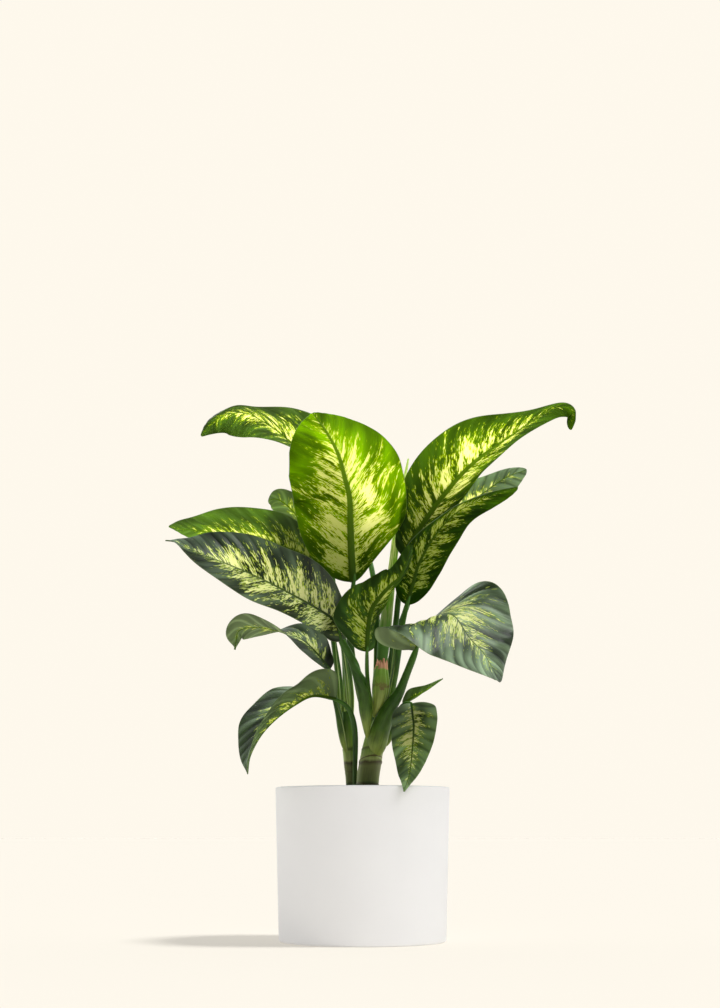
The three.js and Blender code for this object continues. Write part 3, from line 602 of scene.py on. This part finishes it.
LUMPS = 1.4  # height of the blade's slow unevenness
ROW_GAP, NARROWEST = 1.15, 1.2  # between rows of points, and the least half width at foot and tip
# Columns of points: by the midrib, in its widths, and from there to the edge, as parts of the way
NEAR_RIB, TO_EDGE = np.array([0.38, 0.72, 1.0, 1.45]), np.linspace(0, 1, 20)[1:]


def veins(x, y, long):
    """Where on the midrib the side vein through a point starts. A vein leaves at a wide angle near the foot
    and a sharp one near the tip, and bends towards the tip on its way out."""
    return (y - 0.35 * x - 0.004 * x * x) / (1 + 0.95 * x / long)


def blade(name, rib, face, half, fold, curl, wave, strong, quilt, seed):
    """The blade and midrib: a grid laid along the midrib, then given its thickness."""
    long = along(rib, [0])[1]
    rows = int(np.clip(long / ROW_GAP, 70, 210))
    step = np.linspace(0, 1, rows + 1)
    v = (1 - np.cos(np.pi * step)) / 2
    t, _ = along(rib, v)
    ahead = heading(rib, t)
    up = square(through(face, t), ahead)
    right = np.cross(ahead, up)
    middle = through(rib, t)[:, None]
    taper = 1 - v[:, None]
    parts = []
    for side, sign in ((0, -1), (1, 1)):
        wide = np.maximum(through([0, *half[side], 0], step), NARROWEST)
        foot = np.minimum(strong * (RIB_WIDE * taper + RIB_END) / wide, 0.6)
        reach = foot * NEAR_RIB
        reach = np.hstack([reach, reach[:, -1:] + (1 - reach[:, -1:]) * TO_EDGE])
        if side:
            reach = np.hstack([np.zeros((rows + 1, 1)), reach])
        else:
            reach = reach[:, ::-1]
        rise = np.radians(through([pair[side] for pair in fold], v))
        bend = np.radians(through([pair[side] for pair in curl], v))
        bend = np.where(np.abs(bend) < 1e-4, 1e-4, bend)
        slope = rise + bend * reach
        off = wide * (np.sin(slope) - np.sin(rise)) / bend
        lift = wide * (np.cos(rise) - np.cos(slope)) / bend
        lift = lift + (wave[0] * reach**2 * np.minimum(wide / 40, 1)
                       * np.sin(2 * np.pi * wave[1] * v[:, None] + wave[2] + 1.9 * side))
        away = np.cos(slope)[..., None] * up[:, None] - sign * np.sin(slope)[..., None] * right[:, None]
        x, y = reach * wide, v[:, None] * long + 0 * reach
        spots = list(zip(y.ravel(), x.ravel()))
        stray = [noise.noise((a / 30, b / 45 * sign, seed)) for a, b in spots]
        lump = [noise.noise((a / 34 + seed, b / 26 * sign, seed)) for a, b in spots]
        start = veins(x, y, long) + 0.5 * VEIN_GAP * side + VEIN_STRAY * np.reshape(stray, x.shape)
        arch = 1 - np.abs(2 * ((start / VEIN_GAP) % 1) - 1) ** 2.2
        fade = np.clip((x - 3) / 9, 0, 1) * np.clip((1 - reach) * 3, 0, 1) ** 0.7
        high = (quilt * (arch - 0.5) + LUMPS * np.reshape(lump, x.shape)) * fade
        high = high - RIB_SUNK * np.exp(-(x / 2.2) ** 2) * taper
        skin = middle + sign * off[..., None] * right[:, None] + lift[..., None] * up[:, None]
        skin = skin + (high + BLADE / 2)[..., None] * away
        crest = min(strong, 1) * RIB_DEEP * taper ** 0.8 * np.clip(1 - (reach / foot) ** 2, 0, 1)
        parts.append((skin, start, sign * x, reach, y / long, BLADE - 0.3 * reach**2 + crest))
    skin, start, x, reach, y, thick = (np.concatenate(pair, axis=1) for pair in zip(*parts))
    body, place = lay(name, skin, (start / 100 + seed, x / 100), (reach, y))
    body.vertex_groups.new(name="thick")
    for i, weight in enumerate((thick / (BLADE + RIB_DEEP)).ravel()[place]):
        body.vertex_groups[0].add([i], float(weight), "REPLACE")
    for finish_slot in LEAF_SKINS:
        body.data.materials.append(finish_slot)
    depth = body.modifiers.new("thickness", "SOLIDIFY")
    depth.thickness, depth.offset = (BLADE + RIB_DEEP) * mm, -1
    depth.vertex_group, depth.material_offset = "thick", 1
    bpy.ops.object.modifier_apply(modifier=depth.name)
    body.vertex_groups.clear()
    bpy.ops.object.shade_smooth_by_angle(angle=math.radians(55))
    return body


def gutter(share, length, angle):
    """The stalk's section: a deep channel towards the cane at its foot, a shallow groove near the blade."""
    turn = np.minimum(angle, 2 * np.pi - angle)
    deep = 0.62 * (1 - share) ** 1.5 + 0.16
    wings = 0.16 * np.clip(1 - share * 1.9, 0, 1) ** 0.5
    return 1 - deep * np.exp(-(turn / 0.62) ** 2) + wings * np.exp(-((turn - 1.05) / 0.2) ** 2)


# The markings lie in the blade itself and show on both faces: cream flames along the side veins, densest
# by the midrib, edged yellow-green, torn into feathers and flecks, and gone before the edge and the tip.
# Flames are some 8 mm by 40 mm, feathers 3 mm by 14 mm and flecks 1.3 mm by 4.5 mm. For each: how many in
# 100 mm along the midrib and along a vein, how ragged, and how much it counts.
MARKS = {"flame": ((12, 2.5), 1, 2.2), "feather": ((34, 6.5), 3, 2.5), "fleck": ((80, 20), 1, 2.5),
         "group": ((3.6, 2.6), 1, 0.8)}


def marks(tree):
    """How much lime, cream, midrib, side vein and edge there is at each place of a blade."""
    run = node(tree, "UVMap", uv_map="run")
    out, high, _ = node(tree, "SeparateXYZ", {0: node(tree, "UVMap", uv_map="share")}).outputs
    habit, look = (node(tree, "SeparateColor", {0: node(tree, "Attribute", attribute_name=title)}).outputs
                   for title in ("habit", "look"))
    amount, furthest, deep = habit
    # look: the leaf's painted grey sheen, its midrib's width, and its painted backlight
    painted_sheen, strong, glow = look
    foot = spread(tree, high, -0.04, 0.14, smooth=True)
    tip = spread(tree, high, 0.50, 1.0, 1, 0.08, smooth=True)
    reach = reckon(tree, "MULTIPLY", reckon(tree, "MULTIPLY", foot, tip), furthest)
    steep = reckon(tree, "MULTIPLY_ADD", reckon(tree, "SUBTRACT", reach, out), 1.35, 0.10)
    total = reckon(tree, "ADD", reckon(tree, "MINIMUM", steep, 0.66), amount)
    found = {"run": run, "deep": deep, "glow": glow}
    for kind, (stretch, detail, weight) in MARKS.items():
        found[kind] = grain(tree, run, stretch, {"Detail": detail, "Roughness": 0.6, "Distortion": 0.35})
        part = reckon(tree, "MULTIPLY_ADD", found[kind], weight, -0.5 * weight)
        total = reckon(tree, "ADD", total, part)
    found["lime"] = spread(tree, total, 0.44, 0.53, smooth=True)
    found["cream"] = spread(tree, total, 0.60, 0.78, smooth=True)
    start, across, _ = node(tree, "SeparateXYZ", {0: run}).outputs
    width = reckon(tree, "MULTIPLY", spread(tree, high, 0, 1, 0.034, 0.006), strong)
    part = reckon(tree, "DIVIDE", reckon(tree, "ABSOLUTE", across), width)
    found["rib"] = spread(tree, part, 0.8, 1.15, 1, 0, smooth=True)
    found["vein"] = reckon(tree, "PINGPONG", reckon(tree, "MULTIPLY", start, 100 / VEIN_GAP), 0.5)
    found["edge"] = spread(tree, out, 0.985, 0.998, 0, 0.6, smooth=True)
    # Painted grey sheen on the upper face, in patches, where it would mirror the light
    found["painted_sheen"] = reckon(tree, "MULTIPLY", painted_sheen, spread(tree, found["group"], 0.36, 0.64, 0.3, 1.7))
    # Painted shade: less light through the lower blade, towards its foot
    found["thin"] = spread(tree, high, 0.05, 0.5, 0.32, 1, smooth=True)
    return found


def skin(name, varies, sent_back, let_through, look, light_at_vein, light_between_veins, bumpy):
    """A leaf's surface. varies: which of the leaf's habits takes it from its first green to its second; on
    the upper face that is its painted grey sheen. sent_back and let_through: those two greens, and its lime,
    cream, midrib and edge, in the light that it sends back and in the light that comes through it; the two
    greens of the light through it are a painted backlight, dim to bright, chosen per leaf. look: least and
    most rough,
    IOR, how much light comes through. The next two: how light the green is painted along the side veins and
    between them, a painted shade and highlight of the quilted relief."""
    made, tree = finish(name)
    found = marks(tree)
    # Painted shade and highlight of the quilted relief: the green is darker in its hollows and lighter on its
    # crests, along and between the side veins
    line = spread(tree, found["vein"], 0, 0.26, light_at_vein, light_between_veins, smooth=True)
    tone = reckon(tree, "MULTIPLY", line, spread(tree, found["group"], 0.3, 0.7, 0.66, 1.3))
    colours = []
    # The light through the leaf takes its green from the leaf's painted backlight, dim to bright
    for habit, (first, second, *marked) in ((varies, sent_back), ("glow", let_through)):
        tint = blend(tree, 1, blend(tree, found[habit], first, second), tone, "MULTIPLY")
        for kind, text in zip(("lime", "cream", "rib", "edge"), marked):
            tint = blend(tree, found[kind], tint, text)
        colours.append(tint)
    # The light through the blade is darkened towards its foot, a painted shade on the lower blade; the blade
    # is also a little thicker there.
    passes = blend(tree, 1, colours[1], found["thin"], "MULTIPLY")
    raised = reckon(tree, "ADD", grain(tree, found["run"], (70, 9), {"Detail": 2}), found["vein"])
    bump = relief(tree, raised, bumpy, 0.0006)
    least, most, bends_light, through_share = look
    sent = node(tree, "BsdfPrincipled", {
        "Base Color": colours[0], "Roughness": spread(tree, found["feather"], 0.3, 0.7, least, most),
        "IOR": bends_light, "Normal": bump})
    passed = node(tree, "BsdfTranslucent", {"Color": passes, "Normal": bump})
    node(tree, "OutputMaterial", {0: node(tree, "MixShader", {0: through_share, 1: sent, 2: passed})})
    return made


# The light that comes through a leaf is the same on both its faces. Its first two greens are a painted
# backlight: each leaf's glow takes it from dim, for a leaf in shade, to bright, for one lit from behind.
GLOW = ("#3E560C", "#A9C800", "#D2DE1A", "#FCF6CC", "#8CA62C", "#86A02C")
# Upper face: a thick waxed skin over dark green tissue, which shines like satin. Its grey where it mirrors
# the light is a painted sheen in its colour, from dark green to grey-green per leaf and in patches.
upper_face = skin(
    "waxed_upper_face", "painted_sheen", ("#0B1F08", "#AECBA2", "#B6D43A", "#F6FFB0", "#2C4A20", "#8FA670"), GLOW,
    (0.28, 0.44, 1.5, 0.45), 0.6, 1.12, 0.6)
# Underside: no wax, so matt and greyer, with the midrib and the veins standing out.
underside = skin(
    "matt_underside", "deep", ("#C6E0A6", "#285004", "#96B616", "#CEE468", "#4C6C22", "#8FA65C"), GLOW,
    (0.50, 0.64, 1.12, 0.60), 1.36, 0.84, 0.6)

# Stalk: smooth juicy green skin with fine lengthwise lines of about 0.5 mm, drawn at 1 mm, paler at the
# clasping foot and along the thin edges of its gutter, with painted shade darkening inside the gutter low
# down.
stalk_skin, tree = finish("fleshy_green_stalk")
run = node(tree, "UVMap", uv_map="run")
around, high, _ = node(tree, "SeparateXYZ", {0: node(tree, "UVMap", uv_map="share")}).outputs
lines = grain(tree, run, (4, 90), {"Detail": 3})
patch = grain(tree, run, (9, 26), {"Detail": 3})
shade = ramp(tree, high, (
    (0.0, "#A4B45C"), (0.09, "#92A84C"), (0.26, "#4C6E20"), (0.5, "#2C520E"), (1.0, "#42701A")))
tone = spread(tree, reckon(tree, "ADD", lines, patch), 0.6, 1.4, 0.5, 1.4)
base = blend(tree, 1, shade, tone, "MULTIPLY")
turn = reckon(tree, "PINGPONG", around, 0.5)
low = spread(tree, high, 0.3, 0.6, 0.8, 0)
lip = reckon(tree, "MULTIPLY", reckon(tree, "COMPARE", turn, 0.165, 0.022), low)
base = blend(tree, lip, base, "#B7C888")
# Painted shade: darker inside the gutter, where it faces the cane, on the lower part of the stalk
deep = reckon(tree, "MULTIPLY", spread(tree, turn, 0.10, 0.16, 0.75, 0), low)
bump = relief(tree, lines, 0.35, 0.0005)
shader = node(tree, "BsdfPrincipled", {
    "Base Color": blend(tree, deep, base, "#20400F"), "Roughness": 0.42, "IOR": 1.38, "Normal": bump,
    "Subsurface Weight": 0.12, "Subsurface Radius": (0.003, 0.005, 0.001), "Subsurface Scale": 0.5})
node(tree, "OutputMaterial", {0: shader})
LEAF_SKINS = (upper_face, underside, stalk_skin)


def tag(body, name, values):
    """Keeps three values of a leaf on its points, for the materials to read."""
    layer = body.data.color_attributes.new(name, "FLOAT_COLOR", "POINT")
    layer.data.foreach_set("color", np.tile([*values, 1.0], len(body.data.vertices)))


CANE_MIDDLE = [8, -4]  # between the canes, where the stalks' gutters face
for number, (stands_for, leaf) in enumerate(LEAVES.items()):
    if "rib" not in leaf:
        continue
    amount, reach, deep, painted_sheen, glow, strong, quilt = leaf["looks"]
    name = stands_for.replace("leaf_", "") + "_leaf"
    body = blade(name, leaf["rib"], leaf["face"], leaf["half"], leaf["fold"], leaf.get("curl", [[0, 0]] * 3),
                 leaf["wave"], strong, quilt, seed=number * 0.1 * VEIN_GAP)
    # The stalk runs on under the foot of the blade, and its foot bites into the cane
    rib, line, r = leaf["rib"], leaf["stalk"], leaf["r"]
    t, _ = along(rib, [0, 0.06])
    up = square(through(leaf["face"], t), heading(rib, t))
    under = (through(rib, t) - 1.3 * up).tolist()
    away = np.array(CANE_MIDDLE + [0]) - np.array([line[1][0], line[1][1], 0])
    away = unit(away) if np.linalg.norm(away) > 1 else np.array([0, 1, 0])
    inward = [away, away, away, unit(away + up[1]), up[1], up[1]]
    foot = (np.array(line[0]) + 6 * unit(np.array(line[0], float) - line[1]) + 3 * away).tolist()
    stem = stalk("stem", [foot] + line + under, [0.3 * r[0]] + r + [r[-1] * 0.9, 1.5], inward, gutter)
    for finish_slot in LEAF_SKINS:
        stem.data.materials.append(finish_slot)
    stem.data.polygons.foreach_set("material_index", [2] * len(stem.data.polygons))
    join(body, stem)
    at = np.empty(len(body.data.vertices) * 3)
    body.data.vertices.foreach_get("co", at)
    held = np.clip(at.reshape(-1, 3), np.array(cad_box[0]) + 0.1 * mm, np.array(cad_box[1]) - 0.1 * mm)
    body.data.vertices.foreach_set("co", held.ravel())
    tag(body, "habit", (amount, reach, deep))
    # The look carries painted light: the leaf's grey sheen and its backlight
    tag(body, "look", (painted_sheen, strong, glow))
    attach(body, "root")
    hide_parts(stands_for)


# Rolled leaf. The newest leaf, still rolled up tight, pale and thin-skinned: it wraps round itself, and the
# overlap shows as one long line. Its tip stands up behind the large front leaf.
def rolled(share, length, angle):
    """Its section: one turn, whose outer edge makes a step that winds round on its way up."""
    turn = (angle + 2.2 * share) % (2 * np.pi)
    return 0.92 + 0.16 * turn / (2 * np.pi) - 0.05 * np.exp(-((turn - 2 * np.pi) / 0.12) ** 2)


spear_line = LEAVES["leaf_rolled"]
spear = stalk("rolled_new_leaf", spear_line["stalk"], spear_line["r"], [[-1, 0, 0], [-1, 0, 0]], rolled,
              around=48, gap=2.0)
# New leaf: the same tissue before it has greened, so light comes through it, with yellow-green stripes.
new_skin, tree = finish("pale_new_leaf_skin")
high = node(tree, "SeparateXYZ", {0: node(tree, "UVMap", uv_map="share")}).outputs[1]
stripe = grain(tree, node(tree, "UVMap", uv_map="run"), (3, 32), {"Detail": 3, "Distortion": 0.4})
young = blend(tree, spread(tree, stripe, 0.42, 0.58), "#93BE45", "#E3E9A8")
base = blend(tree, spread(tree, high, 0.30, 0.5), "#4F7A2C", young)
bump = relief(tree, stripe, 0.3, 0.0004)
sent = node(tree, "BsdfPrincipled", {"Base Color": base, "Roughness": 0.45, "IOR": 1.45, "Normal": bump})
passed = node(tree, "BsdfTranslucent", {"Color": base})
node(tree, "OutputMaterial", {0: node(tree, "MixShader", {0: 0.4, 1: sent, 2: passed})})
spear.data.materials.append(new_skin)
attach(spear, "root")
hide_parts("leaf_rolled")


# Old sheath. The stump of a leaf that has dropped: it still clasps the crown in front, swollen and green
# below, ribbed, and torn off and dried to brown paper at its top.
SHEATH = [[14, -14, 250], [18, -16, 262], [21, -18, 282], [21.5, -18, 300], [22, -16, 318]]
SHEATH_R = [3, 7.5, 10, 8.6, 6.2]
SHEATH_LIP, SHEATH_HOLLOW = 1.4 * mm, 12 * mm  # how thick the torn edge is, and how deep it is open


def clasping(share, length, angle):
    """Its section: nine ribs, one crease, and an uneven top."""
    ribs = 0.02 * np.sin(angle * 9 + 0.6 * np.sin(share * 8))
    fold = -0.16 * np.exp(-((angle - 4.4 + 0.5 * share) / 0.14) ** 2)
    torn = 0.22 * np.clip(share - 0.72, 0, 1) * (np.sin(angle * 3 + share * 20) + 0.8 * np.sin(angle * 7))
    return 1 + ribs + fold + torn


sheath = stalk("old_leaf_sheath", SHEATH, SHEATH_R, [[0, 1, 0], [0, 1, 0]], clasping, around=64, gap=0.9)
bpy.ops.object.mode_set(mode="EDIT")
pick(lambda p: p.z > 317.2 * mm, "FACE")
bpy.ops.mesh.inset(thickness=SHEATH_LIP)
bpy.ops.transform.translate(value=(0, 0, -SHEATH_HOLLOW))
bpy.ops.object.mode_set(mode="OBJECT")
for point in sheath.data.vertices:
    turn = math.atan2(point.co.y + 16 * mm, point.co.x - 22 * mm)
    torn = 5 + 4 * math.sin(2 * turn + 0.4) + 2.5 * math.sin(7 * turn) + 2 * math.sin(17 * turn + 1)
    point.co.z -= max(torn, 0) * mm * max(0, (point.co.z / mm - 300) / 18) ** 2
sheath.data.update()
# Dying sheath: juicy green below, its nerves showing as lines, and dry, reddish-brown and papery on top,
# with one brown bruise across it.
dying, tree = finish("drying_leaf_sheath")
nerve = grain(tree, node(tree, "UVMap", uv_map="run"), (4, 60), {"Detail": 4, "Distortion": 0.4})
ragged = clouds(tree, 170, {"Detail": 3})
up = node(tree, "SeparateXYZ", {0: node(tree, "TexCoord").outputs["Object"]}).outputs[2]
up = reckon(tree, "ADD", up, reckon(tree, "MULTIPLY_ADD", ragged, 0.018, -0.009))
live = blend(tree, spread(tree, up, 0.250, 0.300), "#A3AE56", "#6E9232")
live = blend(tree, 1, live, spread(tree, nerve, 0.3, 0.7, 0.72, 1.2), "MULTIPLY")
dry = spread(tree, up, 0.305, 0.308)
base = blend(tree, dry, live, blend(tree, ragged, "#7A3E26", "#C79A78"))
bruise = reckon(tree, "MULTIPLY", reckon(tree, "COMPARE", up, 0.2855, 0.0022), ragged)
bump = relief(tree, nerve, 0.5, 0.0008)
shader = node(tree, "BsdfPrincipled", {
    "Base Color": blend(tree, bruise, base, "#6B4A2C"), "Roughness": spread(tree, dry, 0, 1, 0.45, 0.85),
    "IOR": 1.45, "Normal": bump})
node(tree, "OutputMaterial", {0: shader})
sheath.data.materials.append(dying)
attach(sheath, "root")
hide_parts("old_sheath")


# Studio. A pale warm ground with no horizon, and soft light from all round but the front, where the camera
# stands in the dark. Large lamps behind and above come through the leaves, and a soft key lamp stands high
# on the right.
GROUND = "#FEF8EC"
GROUND_OUT, BACKDROP_OUT = 20, 18  # radii in metres: they meet far behind the plant
floor = begin("ground", bpy.ops.mesh.primitive_circle_add, vertices=96, radius=GROUND_OUT, fill_type="NGON")
seamless, tree = finish("studio_ground")
glow = node(tree, "Emission", {"Color": colour(GROUND), "Strength": 0.545})
card = node(tree, "BsdfDiffuse", {"Color": [0.20 * c for c in colour(GROUND)[:3]] + [1]})
node(tree, "OutputMaterial", {0: node(tree, "AddShader", {0: glow, 1: card})})
floor.data.materials.append(seamless)

dome = begin("backdrop", bpy.ops.mesh.primitive_uv_sphere_add, segments=64, ring_count=32,
             radius=BACKDROP_OUT)
backdrop, tree = finish("studio_backdrop")
node(tree, "OutputMaterial", {0: node(tree, "Emission", {"Color": colour(GROUND), "Strength": 1.003})})
dome.data.materials.append(backdrop)
dome.visible_diffuse = dome.visible_glossy = dome.visible_transmission = dome.visible_shadow = False

world = bpy.data.worlds.new("soft_light")
bpy.context.scene.world = world
world.use_nodes = True
tree = world.node_tree
toward = node(tree, "SeparateXYZ", {0: node(tree, "TexCoord").outputs["Generated"]}).outputs[1]
level = spread(tree, toward, -0.35, 0.3, 0.1, 1.0, smooth=True)
tree.links.new(level.outputs[0], tree.nodes["Background"].inputs[1])
tree.nodes["Background"].inputs[0].default_value = (0.985, 0.992, 1, 1)

# Lamps: three behind and above for the plant, whose light comes through the leaves, and a soft key lamp high
# on the right. The pot has soft lamps of its own on the right, in front and on the left, and the last lamp
# lays the pot's shadow on the ground. For each: kind, strength, size in metres or degrees, place and aim.
LAMPS = {"back": ("AREA", 135, 0.5, (-0.15, 1.5, 1.9), (0, 0, 0.4)),
         "back_left": ("AREA", 45, 0.4, (-1.3, 0.9, 1.9), (0, 0, 0.4)),
         "back_right": ("AREA", 45, 0.4, (1.3, 0.9, 1.9), (0, 0, 0.4)),
         "key": ("SUN", 2.3, 36, (0.62, -0.40, 0.80), (0, 0, 0)),
         "right": ("SUN", 1.25, 40, (0.62, -0.40, 0.80), (0, 0, 0)),
         "front": ("SUN", 0.95, 50, (0.0, -1.0, 0.25), (0, 0, 0)),
         "left": ("SUN", 0.4, 40, (-1.0, 0.1, 0.3), (0, 0, 0)),
         "shade": ("SUN", 7.2, 14, (0.74, -0.05, 0.88), (0, 0, 0))}
plant = [part for part in bpy.context.scene.objects if part.type == "MESH" and part not in (pot, floor, dome)]
LIGHTS_UP = {"back": plant, "back_left": plant, "back_right": plant, "key": plant, "right": [pot],
             "front": [pot], "left": [pot], "shade": [floor]}
for name, (kind, strength, size, place, aim) in LAMPS.items():
    lamp = bpy.data.objects.new(name, bpy.data.lights.new(name, kind))
    lamp.data.energy = strength
    if kind == "SUN":
        lamp.data.angle = math.radians(size)
    else:
        lamp.data.size, lamp.visible_glossy = size, False
    lamp.location = place
    lamp.rotation_euler = (Vector(aim) - lamp.location).to_track_quat("-Z", "Y").to_euler()
    lit = bpy.data.collections.new("lit_by_" + name)
    for part in LIGHTS_UP[name]:
        lit.objects.link(part)
    lamp.light_linking.receiver_collection = lit
    if name == "shade":
        lamp.light_linking.blocker_collection = bpy.data.collections["lit_by_front"]
    bpy.context.scene.collection.objects.link(lamp)

# Camera: in front, low over the ground and looking up a little, as in the photograph
CAMERA_AT, CAMERA_UP = (-0.0029, -1.85, 0.1255), 11.55  # in metres, and in degrees above level
view = bpy.data.objects.new("camera", bpy.data.cameras.new("camera"))
view.data.lens, view.data.sensor_width, view.data.clip_end = 56.57, 36, 60
view.location = CAMERA_AT
view.rotation_euler = (math.radians(90 + CAMERA_UP), 0, 0)
bpy.context.scene.collection.objects.link(view)
bpy.context.scene.camera = view
bpy.context.scene.view_settings.view_transform = "Standard"
